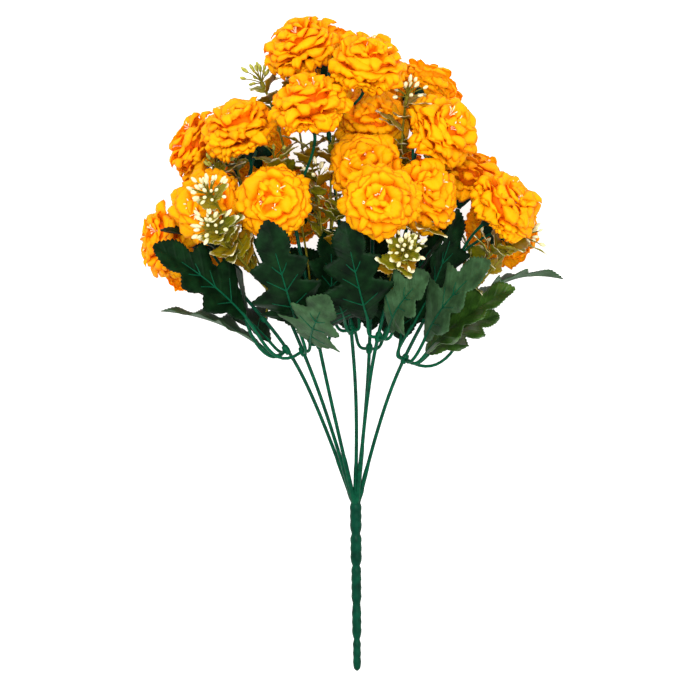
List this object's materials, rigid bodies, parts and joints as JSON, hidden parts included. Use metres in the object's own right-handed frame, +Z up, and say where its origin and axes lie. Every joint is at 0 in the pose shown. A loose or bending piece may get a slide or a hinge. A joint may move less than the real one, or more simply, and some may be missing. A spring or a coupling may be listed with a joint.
{
  "type": "artificial marigold bush",
  "caption": "Artificial marigold bush: domed ruffled fabric flower heads, lobed fabric leaves and sprigs of buds on moulded branches that meet in one knotted pick stem.",
  "frame": {"origin": "middle of the footprint, on the surface that the bush lies on", "axes": "+Y from the stem's tip towards the flowers, +Z up out of the surface through the front of the bush, +X to the right seen from the front"},
  "size_m": [0.2703, 0.4173, 0.1392],
  "materials": {
    "stem_plastic": "satin",
    "calyx_plastic": "matt",
    "leaf_fabric": "matt",
    "sprig_plastic": "satin",
    "petal_fabric": "matt"
  },
  "bodies": {
    "root": {"stem": "stem_plastic", "flower_01": "petal_fabric", "flower_02": "petal_fabric", "flower_03": "petal_fabric", "flower_04": "petal_fabric", "flower_05": "petal_fabric", "flower_06": "petal_fabric", "flower_07": "petal_fabric", "flower_08": "petal_fabric", "flower_09": "petal_fabric", "flower_10": "petal_fabric", "flower_11": "petal_fabric", "flower_12": "petal_fabric", "flower_13": "petal_fabric", "flower_14": "petal_fabric", "flower_15": "petal_fabric", "flower_16": "petal_fabric", "flower_17": "petal_fabric", "flower_18": "petal_fabric", "flower_19": "petal_fabric", "flower_20": "petal_fabric", "flower_21": "petal_fabric", "flower_22": "petal_fabric", "calyx_01": "calyx_plastic", "calyx_02": "calyx_plastic", "calyx_03": "calyx_plastic", "calyx_04": "calyx_plastic", "calyx_05": "calyx_plastic", "calyx_06": "calyx_plastic", "calyx_07": "calyx_plastic", "calyx_08": "calyx_plastic", "calyx_09": "calyx_plastic", "calyx_10": "calyx_plastic", "calyx_11": "calyx_plastic", "calyx_12": "calyx_plastic", "calyx_13": "calyx_plastic", "calyx_14": "calyx_plastic", "calyx_15": "calyx_plastic", "calyx_16": "calyx_plastic", "calyx_17": "calyx_plastic", "calyx_18": "calyx_plastic", "calyx_19": "calyx_plastic", "calyx_20": "calyx_plastic", "calyx_21": "calyx_plastic", "calyx_22": "calyx_plastic", "leaf_whorl_1": "leaf_fabric", "leaf_whorl_2": "leaf_fabric", "leaf_whorl_3": "leaf_fabric", "leaf_whorl_4": "leaf_fabric", "leaf_whorl_5": "leaf_fabric", "leaf_whorl_6": "leaf_fabric", "leaf_whorl_7": "leaf_fabric", "sprig_1": "sprig_plastic", "sprig_2": "sprig_plastic", "sprig_3": "sprig_plastic", "sprig_4": "sprig_plastic", "sprig_5": "sprig_plastic", "sprig_6": "sprig_plastic", "sprig_7": "sprig_plastic"}
  },
  "joints": []
}
